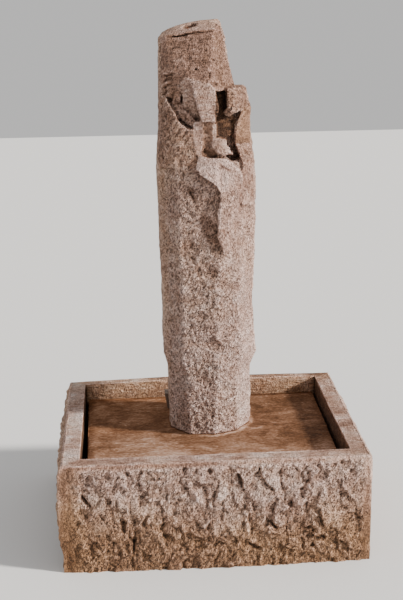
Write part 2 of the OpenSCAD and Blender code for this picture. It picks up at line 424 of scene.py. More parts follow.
# Steps broken into the front face: points across and up in millimetres, how far the side on the left
# of the walk along them stands proud of the other side, and how far the step reaches
FRONT_STEPS = [
    ([(-348, 227), (-344, 206), (-333, 194), (-323, 181), (-324, 162)], 6, 28),
    ([(-371, 246), (-346, 241), (-314, 236)], -3, 18),
    ([(-267, 292), (-252, 281), (-233, 267), (-218, 263), (-191, 243)], -4, 25),
    ([(-299, 258), (-282, 255), (-251, 254)], -3, 14),
    ([(-283, 181), (-269, 175), (-250, 177)], 5, 25),
    ([(-196, 216), (-187, 201), (-169, 186)], 6, 20),
    ([(-188, 211), (-165, 202), (-137, 200)], -4, 18),
    ([(-335, 96), (-319, 83), (-308, 81)], 4, 16),
    ([(-199, 49), (-187, 48), (-171, 43)], 4, 16),
    ([(-239, 94), (-223, 80), (-206, 73)], -4, 20),
    ([(-24, 297), (-15, 272), (-24, 259)], 6, 20),
    ([(-53, 251), (-44, 234), (-36, 240), (-27, 234)], 6, 18),
    ([(-32, 226), (-28, 207), (-24, 201)], 6, 22),
    ([(46, 272), (56, 258), (65, 243), (63, 215)], 9, 30),
    ([(4, 176), (12, 161), (10, 148), (5, 116), (-1, 97)], 4, 20),
    ([(-21, 149), (-23, 106), (-27, 71)], 5, 20),
    ([(-76, 113), (-66, 98), (-42, 88), (-27, 71)], 7, 22),
    ([(-114, 55), (-108, 43), (-100, 35)], 4, 12),
    ([(69, 74), (93, 60), (120, 47)], 6, 20),
    ([(-79, 258), (-78, 226), (-72, 194)], 5, 22),
    ([(53, 167), (59, 154), (60, 143)], 4, 12),
    ([(109, 294), (114, 251), (130, 229), (153, 204)], 9, 30),
    ([(164, 295), (166, 270), (164, 234), (170, 219), (174, 200)], 5, 22),
    ([(179, 295), (201, 275), (220, 254), (231, 231)], 5, 20),
    ([(217, 276), (238, 259), (239, 235), (223, 215), (197, 200)], 5, 18),
    ([(308, 266), (310, 232), (317, 219), (332, 201), (351, 175), (365, 155)], 5, 25),
    ([(124, 142), (138, 125), (152, 107), (159, 97)], 9, 25),
    ([(123, 104), (128, 95), (142, 91), (161, 86)], 6, 18),
    ([(190, 195), (191, 169), (189, 157)], 5, 15),
    ([(162, 147), (180, 142)], 5, 15),
    ([(217, 176), (231, 177), (233, 159), (232, 124)], 4, 15),
    ([(271, 168), (267, 149), (270, 114), (280, 95)], 10, 40),
    ([(291, 103), (304, 97), (312, 87)], 6, 18),
    ([(213, 96), (236, 89), (254, 78), (273, 64)], 9, 22),
    ([(299, 69), (321, 59), (336, 47), (350, 25)], 8, 22),
    ([(328, 117), (345, 124)], 5, 10),
    ([(150, 68), (170, 54), (192, 42), (219, 40)], 5, 15),
]
# Hollows (deep) and smoother pale plates (proud) of the front: across, up, half width, half height,
# turn in degrees, and the depth or rise, all in millimetres
FRONT_HOLLOWS = [
    (-246, 132, 10, 27, 0, 8), (-230, 72, 20, 22, -35, 6), (238, 97, 17, 10, -15, 7),
    (268, 74, 17, 10, -30, 7), (100, 56, 22, 9, -25, 5), (-133, 92, 18, 10, -20, 4),
    (-17, 272, 10, 18, 0, 3), (-345, 162, 16, 16, 0, 4), (-322, 72, 17, 12, 0, 4),
    (62, 236, 6, 22, 12, 5), (146, 116, 6, 22, 40, 5), (-338, 196, 6, 26, 25, 4),
]
FRONT_PLATES = [
    (-322, 206, 19, 18, 0, 1), (-247, 198, 20, 30, 0, 2), (-48, 206, 18, 32, 12, 3), (9, 210, 15, 28, -10, 2),
    (106, 206, 18, 38, 0, 3), (150, 258, 13, 34, 0, 2), (194, 232, 18, 40, 15, 1), (306, 124, 30, 38, 0, 3),
    (-5, 112, 12, 30, 0, 2), (160, 120, 15, 14, 0, 2), (122, 188, 15, 20, 0, 2), (-182, 172, 32, 14, 0, 1),
    (265, 216, 22, 20, 0, 1), (-215, 200, 14, 30, 0, 1), (40, 130, 24, 30, 0, 1), (-300, 120, 24, 20, 0, 1),
]


def walk_past(flat, path):
    """Signed distance from a path (left is positive) and the share of full strength away from its ends."""
    best = np.full(len(flat), 1e9)
    signed = np.zeros(len(flat))
    along = np.zeros(len(flat))
    lengths = [math.dist(a, b) for a, b in zip(path, path[1:])]
    walked = 0
    for a, b, length in zip(path, path[1:], lengths):
        a, d = np.array(a), np.subtract(b, a) / length
        offset = flat - a
        t = np.clip(offset @ d, 0, length)
        away = np.linalg.norm(offset - t[:, None] * d, axis=1)
        closer = away < best
        best = np.where(closer, away, best)
        side = np.sign(offset @ np.array((-d[1], d[0])) + 1e-12)
        signed = np.where(closer, away * side, signed)
        along = np.where(closer, walked + t, along)
        walked += length
    end = np.minimum(along, walked - along)
    return signed, smoothstep(-0.02, 0.3 * walked, end)


def spot(flat, x, z, half_width, half_height, turn):
    """1 in the middle of a turned oval, falling to 0 at its edge."""
    a = math.radians(turn)
    dx, dz = (flat - (x, z)).T
    u = (dx * math.cos(a) + dz * math.sin(a)) / half_width
    v = (dz * math.cos(a) - dx * math.sin(a)) / half_height
    return smoothstep(1.25, 0.45, np.sqrt(u * u + v * v))


def broken_face(flat, ragged):
    """Steps, hollows and plates of one long rock face: height in metres, the painted shade of its crevices
    and hollows, and the paleness of its plates.

    Both arrays give each point across and up in millimetres; the second is jittered more, for ovals.
    """
    height = np.zeros(len(flat))
    crevice_shade = np.zeros(len(flat))
    plate = np.zeros(len(flat))
    broken = np.clip(0.45 + 0.22 * (ragged - flat)[:, 0], 0, 1)
    for path, rise, reach in FRONT_STEPS:
        signed, strength = walk_past(flat, path)
        fall = np.exp(-np.abs(signed) / reach)
        height += 0.5 * rise * strength * np.tanh(signed / 1.6) * fall
        # A step whose proud side is on the left faces left, away from the sun: its line is sunk and painted
        # dark, as painted shade.
        line = broken * strength * np.exp(-(signed / 2.6) ** 2) * min(1, abs(rise) / 7)
        height -= 1.6 * line * (rise > 0)
        crevice_shade += line * (rise > 0)
    # Hollows are sunk and painted darker: painted shade.
    for *oval, depth in FRONT_HOLLOWS:
        share = spot(ragged, *oval)
        height -= depth * share
        crevice_shade += 0.07 * depth * share
    for *oval, rise in FRONT_PLATES:
        share = spot(ragged, *oval)
        height += rise * share
        plate = np.maximum(plate, share)
    return height * MM, np.clip(crevice_shade, 0, 1), plate


def rock_face(points, flat, seed):
    """Height of the pitched face in metres, the painted shade of each point in the crevices and hollows, and
    how pale it is.
    """
    warp = np.stack([value_noise(points, 0.045, seed + k) for k in range(3)], axis=1)
    p = points + 0.008 * warp
    flat = flat + 3.0 * warp[:, [0, 2]]
    ragged = np.stack([fractal(points, 0.018, seed + 30 + k, 2) for k in range(2)], axis=1)
    height, crevice_shade, plate = broken_face(flat, flat + 5.0 * ragged)
    rough = 1 - 0.6 * plate
    slant = p @ np.array([(1, 0, 0.5), (0, 1, 0), (-0.35, 0, 0.7)])
    big, _ = chips(slant, 0.058, seed, tilt=1.5, soft=0.10)
    mid, _ = chips(slant, 0.026, seed + 40, tilt=1.5, soft=0.16)
    chisel = 1 - 1.6 * np.abs(value_noise(p * (1, 1, 0.5) + 0.002 * warp, 0.0085, seed + 80))
    grit = fractal(p, 0.009, seed + 120, octaves=2, gain=0.6)
    height = height + 0.058 * 0.14 * big + rough * (0.026 * 0.26 * mid + 0.0016 * chisel + 0.0016 * grit)
    return height, crevice_shade, plate


def make_basin():
    """The basin's skin as rings of points, from the foot up over the rim and down into the tank."""
    outline = ring_outline(-HALF_X, -HALF_Y, HALF_X, HALF_Y)
    count = len(outline)
    side = np.repeat(np.arange(4), SIDE_COUNTS)
    out = np.array([(0, -1), (1, 0), (0, 1), (-1, 0)])[side]
    along = np.where(side % 2 == 0, outline[:, 0], outline[:, 1])
    half = np.where(side % 2 == 0, HALF_X, HALF_Y)
    to_corner = half - np.abs(along)
    seats = [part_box(name) for name in ("cable_grommet", "drain_plug")]
    rings = []
    tones = []
    roughness = []
    tooling = []

    def add(xy, z, tone=0.5, rough=0.25, tooled=1.0):
        rings.append(np.column_stack([xy, np.broadcast_to(z, (count,))]))
        for values, value in ((tones, tone), (roughness, rough), (tooling, tooled)):
            values.append(np.broadcast_to(value, (count,)))

    # rock faces, from the ground to the rim's outer edge
    swell = np.array([0.013, 0.006, 0.012, 0.006])[side]
    margin = np.where((side == 0) & (along < 0), 0.045, 0.030)
    bulge = np.sin(np.clip(to_corner / half, 0, 1) * math.pi / 2) ** 0.7
    across = np.choose(side, [along, along, -along, 0.03 - along]) / MM
    for k in range(OUTER_ROWS + 1):
        z = (RIM_Z - 0.003) * k / OUTER_ROWS
        p = np.column_stack([outline, np.full(count, z)])
        flat = np.column_stack([across, np.full(count, z / MM)])
        height, crevice_shade, plate = rock_face(p + (3, 5, 7), flat, 11)
        under_rim = smoothstep(0.0, 0.012, RIM_Z - z - 0.004)
        wide = margin + 0.016 * smoothstep(0.12, 0.0, z) * (side == 0) * (along < 0)
        rocky = smoothstep(0.35, 1, to_corner / wide) * under_rim
        tooled = 0.0005 * value_noise(p * (1, 1, 0.12), 0.006, 5) + 0.0014 * fractal(p, 0.03, 6, 3)
        upright = (1 - (1 - under_rim) ** 2) * (0.75 + 0.25 * math.sin(math.pi * k / OUTER_ROWS))
        d = swell * bulge * upright + rocky * height + (1 - rocky) * tooled * under_rim
        # the fittings at the back sit in flat seats
        for low, high in seats:
            reach = 0.5 * (high[0] - low[0])
            away = np.hypot(outline[:, 0] - 0.5 * (low[0] + high[0]), z - 0.5 * (low[2] + high[2]))
            share = smoothstep(reach + 0.010, reach + 0.003, away) * (side == 2)
            d += share * (SEAT_OUT - d) - 0.030 * smoothstep(0.5 * reach, 0.3 * reach, away) * (side == 2)
        xy = outline + out * d[:, None]
        # the left end bulges in its upper part, right up to the front corner
        left = np.where(side == 3, smoothstep(0.66, 0.0, to_corner), 0)
        left = np.where((side == 0) & (along < 0), smoothstep(0.05, 0.0, to_corner), left)
        belly = np.interp(z, (0, 0.05, 0.10, 0.20, 0.27, 0.290), (0.002, 0.001, 0.010, 0.0095, 0.007, 0))
        xy[:, 0] -= belly * left
        high_up = 0.09 * smoothstep(0.05, 0.20, z)
        streaks = 0.10 * value_noise(p * (1, 1, 0.1), 0.005, 8)
        streaks += 0.08 * value_noise(p * (1, 1, 0.25), 0.02, 9)
        edge_tone = np.where((side == 0) & (along < 0), -0.23, -0.05) + streaks
        # Crevices and hollows painted darker as painted shade, plates paler.
        add(xy, z, 0.56 + 0.10 * plate * rocky - 0.22 * crevice_shade * rocky + edge_tone * (1 - rocky) + high_up,
            0.4 + 0.6 * rocky * (1 - 0.3 * plate), 0.3 * (1 - rocky))
    # rim: worn outer edge, tooled flat, inner edge
    top_noise = np.column_stack([outline, np.full(count, RIM_Z)])
    wobble = 0.0018 * value_noise(top_noise, 0.025, 21) - 0.003 * smoothstep(
        0.45, 0.9, value_noise(top_noise, 0.035, 22))
    pool = ring_outline(*POOL)
    rim_tone = np.array([0.60, 0.60, 0.56, 0.76])[side]
    for inset, drop_z in ((0.0012, 0.0008), (0.004, 0.0)):
        t = inset / RIM_WIDTH
        edge = outline + (pool - outline) * t - out * (0.002 - wobble)[:, None] * (1 - t)
        add(edge, RIM_Z - drop_z, 0.60, 0.5)
    for t in np.linspace(0.16, 0.94, 9):
        xy = outline + (pool - outline) * t
        p = np.column_stack([xy, np.full(count, RIM_Z)])
        worn = 0.20 * fractal(p, 0.05, 35, 3)
        add(xy, RIM_Z + 0.0010 * (fractal(p * (0.3, 1, 1), 0.016, 31, 3) - 0.8), rim_tone + worn, 0.45)
    inner_wobble = 0.0012 * value_noise(np.column_stack([pool, np.full(count, 1.0)]), 0.03, 41)
    add(pool - out * inner_wobble[:, None] + out * 0.0015, RIM_Z - 0.0004, 0.64)
    pool_edge = len(rings)
    add(pool - out * inner_wobble[:, None], RIM_Z - 0.003, 0.56)
    # The pool's side walls are painted darker, and all its walls darker towards the ledge: painted shade in
    # the pool.
    wall_tone_and_shade = np.array([0.45, 0.29, 0.66, 0.24])[side]
    for t in np.linspace(0.08, 1, 9):
        z = RIM_Z - t * (RIM_Z - LEDGE_Z)
        p = np.column_stack([pool, np.full(count, z)])
        add(pool - out * (0.0008 * fractal(p, 0.03, 51, 3))[:, None], z, wall_tone_and_shade - 0.16 * t, 0.3)
    # ledge and tank, hidden under the slab apart from the slots, painted near-black as painted shade
    tank = ring_outline(*TANK)
    add(tank, LEDGE_Z, 0.15)
    for t in (0.33, 0.67, 1):
        add(tank, LEDGE_Z - t * (LEDGE_Z - TANK_Z), 0.1)

    vertices = np.concatenate(rings)
    rows = len(rings)
    faces = []
    for r in range(rows - 1):
        for i in range(count):
            j = (i + 1) % count
            faces.append((r * count + i, r * count + j, (r + 1) * count + j, (r + 1) * count + i))
    faces.append(tuple(range(count - 1, -1, -1)))
    faces.append(tuple((rows - 1) * count + i for i in range(count)))
    # the rim rises a little towards the middle of the back
    crooked = np.interp(vertices[:, 0], (-0.40, -0.12, 0.10, 0.40), (0.003, 0.011, 0.010, 0.006))
    towards_back = smoothstep(0.0, 0.34, vertices[:, 1])
    vertices[:, 2] += crooked * towards_back * smoothstep(LEDGE_Z, RIM_Z, vertices[:, 2])
    basin = new_object("basin_casting", vertices, faces)
    paint_relief(basin)
    x, y, z = get_points(basin).T
    paint(basin, "tone", np.concatenate(tones) - 0.10 * smoothstep(0.20, 0.05, z))
    paint(basin, "tooled", np.concatenate(tooling))
    lower = smoothstep(0.23, 0.06, z + 0.03 * np.sin(9 * x + 1)) + 0.5 * smoothstep(-0.33, -0.37, x)
    lower *= z < RIM_Z - 0.004
    inner_wall = np.arange(len(z)) // count >= pool_edge
    paint(basin, "warmth", 0.24 + 0.65 * lower + 0.25 * smoothstep(0.20, 0.30, y) + 0.3 * inner_wall)
    paint(basin, "rough", np.concatenate(roughness))
    dress(basin, hewn_stone("basin_stone"))
    adopt(basin, "basin")


# ---------------------------------------- column

SOLVER = "MANIFOLD"
COLUMN_VOXEL = 0.0036
SLAB_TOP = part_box("pool_floor_slab")[1][2]
# Where the faceted head takes over from the CAD shaft, and how far back the facets run, in millimetres
HEAD_FOOT = 1020
FACET_BACK = 40

# The solid behind the facets: corners across, along and up, in millimetres
HEAD_CORE = [
    [
        (-115, 12, 1200), (-96, -18, 1200), (20, -26, 1200), (74, 10, 1200), (82, 40, 1200), (82, 112, 1206),
        (56, 150, 1100), (-70, 150, 1100), (-116, 116, 1100), (-115, 112, 1246), (-116, 18, 1338),
        (-99, -8, 1341), (-60, -14, 1348), (27, -18, 1357), (51, 8, 1356), (63, 26, 1300), (64, 104, 1316),
        (54, 120, 1366), (49, 104, 1382), (26, 60, 1377), (-24, 100, 1375), (-43, 104, 1371),
        (-61, 110, 1366), (-84, 114, 1358), (-103, 110, 1347),
    ],
    [
        (-117, 12, 1206), (-124, 60, 1010), (-100, 128, 1010), (-60, 152, 1010), (60, 152, 1010),
        (104, 120, 1010), (128, 60, 1010), (125, 24, 1010), (-123, 14, 1010), (-104, 110, 1206),
        (60, 140, 1130), (40, -4, 1206), (-60, -2, 1206), (40, -22, 1080), (-60, -20, 1080),
        (40, -30, 1010), (-60, -30, 1010),
    ],
    [
        (58, 0, 1207), (111, 8, 1208), (112, 60, 1208), (106, 104, 1206), (60, 110, 1206), (122, 14, 1159),
        (123, 60, 1150), (124, 14, 1062), (125, 60, 1050), (60, 0, 1050), (100, 110, 1050), (129, 20, 1012),
    ],
]
# Top of the hull that carries the back and sides of the shaft up behind the facets
NECK_TOP = [
    (-104, 110, 1230), (-112, 60, 1206), (-112, 20, 1180), (60, 120, 1230), (106, 104, 1190), (112, 60, 1180),
    (112, 20, 1160), (-60, 140, 1130), (60, 140, 1130), (-60, 0, 1150), (60, 0, 1150), (0, -20, 1030),
]
# Facets of the head and of the spur below it, each a prism: how pale, how warm and how rough it is,
# then the corners of its front, across and up with the depth there (more negative stands prouder), in
# millimetres
FACETS = {
    "face": (-0.17, -0.08, 0.5, [
        (-109, 1338, 0), (-91, 1344, -10), (-59, 1349, -15), (-12, 1355, -19), (28, 1358, -16),
        (23, 1312, -27), (15, 1268, -35), (14, 1221, -41), (-5, 1226, -40), (-34, 1234, -36),
        (-50, 1238, -34), (-74, 1248, -26), (-105, 1240, -12), (-112, 1238, 2)]),
    "right_face": (-0.18, -0.05, 0.5, [
        (28, 1358, -16), (44, 1372, 24), (56, 1302, 22), (64, 1278, 16), (80, 1220, 6), (80, 1200, 6),
        (35, 1200, -34), (14, 1221, -41), (15, 1268, -35), (23, 1312, -27)]),
    "temple": (-0.08, 0.05, 0.65, [
        (-112, 1238, 2), (-105, 1240, -12), (-74, 1248, -26), (-50, 1238, -34), (-58, 1220, -28),
        (-69, 1219, -22), (-96, 1213, -12), (-100, 1198, -4), (-116, 1198, 4)]),
    "tongue": (0.05, 0.0, 0.45, [
        (-50, 1238, -34), (-34, 1234, -39), (-19, 1227, -43), (13, 1222, -46), (27, 1208, -46),
        (29, 1197, -49), (34, 1169, -57), (34, 1150, -61), (27, 1124, -64), (-10, 1125, -66),
        (-20, 1162, -57), (-29, 1191, -49), (-34, 1219, -42)]),
    "shaded_flank": (0.10, 0.05, 0.60, [
        (-50, 1238, -33), (-34, 1219, -36), (-29, 1191, -33), (-20, 1162, -31), (-10, 1125, -34),
        (-24, 1130, -27), (-40, 1142, -21), (-52, 1152, -17), (-58, 1166, -15), (-56, 1189, -17),
        (-60, 1204, -20), (-62, 1222, -26)]),
    "high_lump": (-0.17, 0.10, 0.7, [
        (-96, 1213, -12), (-69, 1219, -25), (-64, 1200, -24), (-63, 1168, -22), (-77, 1165, -20),
        (-89, 1172, -13), (-95, 1187, -8)]),
    "low_lump": (0.00, 0.05, 0.75, [
        (-83, 1166, -14), (-62, 1169, -24), (-52, 1152, -30), (-32, 1137, -38), (-22, 1120, -42),
        (-36, 1112, -38), (-52, 1124, -31), (-68, 1137, -24), (-76, 1150, -18)]),
    "wall": (-0.04, 0.15, 0.9, [
        (-117, 1200, 4), (-107, 1196, -10), (-102, 1187, -22), (-86, 1159, -38), (-70, 1128, -48),
        (-54, 1110, -52), (-31, 1102, -56), (-31, 1070, -56), (-22, 1036, -61), (-22, 1006, -60),
        (-85, 1006, -51), (-100, 1006, -37), (-115, 1006, -16), (-124, 1006, 4)]),
    "left_strut": (0.07, 0.0, 0.35, [
        (-33, 1118, -50), (-27, 1126, -52), (-6, 1126, -58), (-7, 1085, -58), (-9, 1039, -60),
        (-22, 1036, -62), (-31, 1070, -57)]),
    "dimple": (-0.06, 0.15, 0.4, [
        (-10, 1124, -52), (17, 1122, -54), (18, 1077, -51), (6, 1058, -48), (-10, 1062, -50)]),
    "dimple_foot": (-0.20, 0.20, 0.4, [
        (-10, 1063, -51), (6, 1059, -50), (28, 1046, -54), (30, 1034, -54), (-12, 1034, -52)]),
    "right_strut": (0.04, 0.05, 0.35, [
        (16, 1126, -58), (31, 1125, -54), (34, 1088, -56), (35, 1080, -58), (17, 1058, -58), (12, 1064, -56),
        (18, 1077, -57)]),
    "cheek": (0.03, 0.0, 0.3, [
        (33, 1086, -57), (54, 1082, -55), (55, 1061, -56), (76, 1036, -58), (54, 1037, -62), (31, 1040, -62),
        (25, 1047, -60), (17, 1060, -58)]),
    "lip": (0.15, -0.30, 0.35, [
        (-22, 1036, -62), (-11, 1036, -65), (3, 1034, -68), (31, 1034, -70), (54, 1030, -68),
        (68, 1019, -64), (86, 1002, -58), (92, 990, -56), (98, 972, -50), (96, 930, -46),
        (40, 925, -68), (36, 939, -72), (28, 955, -76), (15, 969, -78), (-3, 980, -77),
        (-22, 992, -72), (-27, 1012, -67)]),
    # The cleft floor is painted dark: painted shade in the deep cleft.
    "cleft_floor": (-0.50, 0.30, 0.5, [
        (27, 1200, 4), (62, 1200, 4), (60, 1150, 0), (82, 1128, -8), (78, 1090, -18), (56, 1076, -30),
        (30, 1084, -34), (26, 1124, -14)]),
    "knob": (-0.10, 0.10, 0.6, [
        (50, 1144, -26), (54, 1153, -32), (63, 1156, -38), (72, 1152, -36), (74, 1142, -36), (66, 1134, -30),
        (56, 1135, -26)]),
    "shoulder": (-0.16, 0.05, 0.8, [
        (60, 1207, -30), (84, 1209, -22), (112, 1208, 2), (113, 1181, 2), (124, 1159, 3), (101, 1152, -20),
        (89, 1147, -36), (75, 1143, -42), (63, 1150, -40), (57, 1165, -35), (58, 1190, -33)]),
    "side_panel": (-0.16, 0.30, 0.25, [
        (101, 1153, -14), (124, 1160, 5), (124, 1061, 5), (80, 1062, -28), (81, 1096, -26), (90, 1127, -20)]),
    "right_facet": (-0.08, -0.05, 0.65, [
        (79, 1064, -42), (124, 1063, -2), (131, 1021, 2), (133, 974, 4), (134, 900, 6), (96, 900, -46),
        (98, 980, -50), (99, 1007, -48), (93, 1025, -46)]),
    "spur": (0.04, -0.08, 0.6, [
        (36, 940, -72), (35, 910, -72), (30, 885, -72), (30, 852, -71), (23, 826, -70), (31, 805, -69),
        (43, 788, -64), (43, 772, -58), (64, 758, -42), (100, 745, -13), (133, 745, 4), (134, 900, 6),
        (97, 960, -50)]),
}
# Cuts into the head, given as the facets are, from the air in to the depth given
CUTS = {
    "channel": [
        (103, 1155, -8), (92, 1144, -10), (69, 1106, -18), (55, 1088, -22), (55, 1065, -26), (67, 1043, -30),
        (86, 1025, -34), (93, 1026, -34), (80, 1063, -24), (81, 1096, -16), (90, 1127, -10)],
    "channel_tail": [
        (54, 1038, -44), (68, 1043, -40), (86, 1025, -38), (93, 1026, -38), (99, 1007, -40), (99, 978, -46),
        (94, 980, -44), (88, 1010, -40), (76, 1020, -42), (56, 1031, -46)],
    "crease": [
        (-6, 1058, -44), (3, 1051, -42), (25, 1043, -48), (25, 1039, -50), (-8, 1039, -44)],
    "groove": [
        (-100, 1192, 4), (-90, 1180, 2), (-84, 1163, -2), (-76, 1149, -6), (-67, 1135, -10),
        (-51, 1122, -14), (-36, 1111, -20), (-29, 1110, -24), (-31, 1103, -24), (-54, 1111, -14),
        (-70, 1129, -10), (-86, 1160, -2), (-101, 1187, 4)],
    "slit": [
        (-67, 1207, -4), (-60, 1204, -4), (-54, 1186, 0), (-55, 1165, 0), (-63, 1165, 0), (-62, 1187, -2)],
    "pit": [(-98, 1190, 6), (-82, 1184, 0), (-80, 1176, 0), (-90, 1172, 4)],
    "crack_middle": [
        (-107, 1231, 2), (-90, 1238, -10), (-66, 1243, -22), (-66, 1238, -22), (-90, 1229, -8),
        (-107, 1221, 4)],
}
# The water's outlet in the crown, round the end of the riser: corners across, along and up, in millimetres
OUTLET = [
    (-54, 30, 1420), (-14, 26, 1420), (-8, 60, 1420), (-18, 84, 1420), (-50, 84, 1420), (-58, 60, 1420),
    (-48, 38, 1340), (-14, 40, 1340), (-10, 60, 1340), (-18, 78, 1340), (-42, 76, 1340), (-50, 60, 1340),
]
# Marks on the finished front: paths across and up in millimetres, rise on the left of the walk, reach
FRONT_MARKS = [
    ([(-112, 1240), (-92, 1243), (-74, 1251)], 8, 9), ([(-110, 1207), (-96, 1218), (-81, 1225)], 8, 9),
    ([(-108, 1190), (-99, 1199), (-98, 1209)], -6, 7),
    ([(-107, 1338), (-78, 1344), (-35, 1350), (17, 1355)], 8, 8),
    ([(-62, 1206), (-58, 1188), (-59, 1166)], 4, 8), ([(20, 1289), (27, 1275)], 3, 6),
    ([(13, 1253), (13, 1229)], 3, 7), ([(35, 1222), (29, 1213)], 4, 6),
    ([(29, 1018), (62, 998), (67, 989)], 4, 9), ([(102, 1049), (119, 1030)], 3, 6),
    ([(-9, 1037), (26, 1035), (54, 1033)], 4, 6),
    ([(27, 838), (43, 836), (47, 821), (38, 812)], -3, 6), ([(-46, 952), (-36, 930), (-28, 914)], 5, 12),
    ([(4, 548), (22, 530), (42, 516)], 3, 14), ([(-40, 330), (-10, 318), (20, 322)], -2, 14),
]
FRONT_SPOTS = [
    (-21, 1260, 3, 3, 0, 5), (-40, 944, 10, 13, 20, 5), (-32, 922, 9, 12, 0, 4),
    (8, 836, 22, 50, 20, 7), (22, 780, 16, 18, 0, 4), (56, 830, 3, 3, 0, 4), (-21, 996, 3, 3, 0, 4),
    (10, 716, 26, 14, 10, 4), (-62, 1345, 30, 5, 7, 5), (4, 1352, 24, 4, 4, 4),
    (113, 1016, 5, 4, 0, 3), (-50, 780, 26, 40, 0, 3), (20, 510, 28, 16, -25, 4),
]


def convex(name, corners):
    """Convex solid round the corners."""
    bm = bmesh.new()
    for c in corners:
        bm.verts.new(Vector(c) * MM)
    hull = bmesh.ops.convex_hull(bm, input=bm.verts)
    inside = {v for v in hull["geom_interior"] + hull["geom_unused"] if isinstance(v, bmesh.types.BMVert)}
    bmesh.ops.delete(bm, geom=list(inside), context="VERTS")
    return from_bmesh(name, bm)


def prism(name, outline, end):
    """Solid between a facet, given across, up and along, and the flat y = end."""
    bm = bmesh.new()
    near = [bm.verts.new(Vector((x, y, z)) * MM) for x, z, y in outline]
    far = [bm.verts.new(Vector((x, end, z)) * MM) for x, z, _ in outline]
    bm.faces.new(near)
    bm.faces.new(far[::-1])
    for i in range(len(near)):
        j = (i + 1) % len(near)
        bm.faces.new((near[j], near[i], far[i], far[j]))
    bmesh.ops.triangulate(bm, faces=bm.faces)
    return from_bmesh(name, bm)


def from_bmesh(name, bm):
    """Object made from a bmesh, with its faces turned outward."""
    bmesh.ops.recalc_face_normals(bm, faces=bm.faces)
    mesh = bpy.data.meshes.new(name)
    bm.to_mesh(mesh)
    bm.free()
    return link(bpy.data.objects.new(name, mesh))


def cut_level(obj, height, keep_above):
    """Cuts a closed mesh at a height and closes it again."""
    bm = bmesh.new()
    bm.from_mesh(obj.data)
    bmesh.ops.remove_doubles(bm, verts=bm.verts, dist=1e-5)
    result = bmesh.ops.bisect_plane(
        bm, geom=bm.verts[:] + bm.edges[:] + bm.faces[:], plane_co=(0, 0, height), plane_no=(0, 0, 1),
        clear_inner=keep_above, clear_outer=not keep_above)
    rim = [e for e in result["geom_cut"] if isinstance(e, bmesh.types.BMEdge)]
    bmesh.ops.contextual_create(bm, geom=rim)
    bmesh.ops.recalc_face_normals(bm, faces=bm.faces)
    bm.to_mesh(obj.data)
    bm.free()


def combine(obj, operation, block):
    """Joins a block to a solid or cuts it away, and drops the block."""
    apply_modifier(obj, "BOOLEAN", operation=operation, solver=SOLVER, object=block)
    drop(block)


def covers(outline, flat):
    """True for the points that lie inside an outline."""
    inside = np.zeros(len(flat), dtype=bool)
    x, z = flat.T
    for a, b in zip(outline, outline[1:] + outline[:1]):
        crosses = (a[1] > z) != (b[1] > z)
        reach = (b[0] - a[0]) * (z - a[1]) / (b[1] - a[1] + 1e-9) + a[0]
        inside ^= crosses & (x < reach)
    return inside


# Ridge between the rough front and the paler right facet, up and across in millimetres
RIDGE = np.array([(250, 82), (640, 80), (700, 66), (772, 43), (826, 24), (852, 30), (885, 30), (937, 36)])


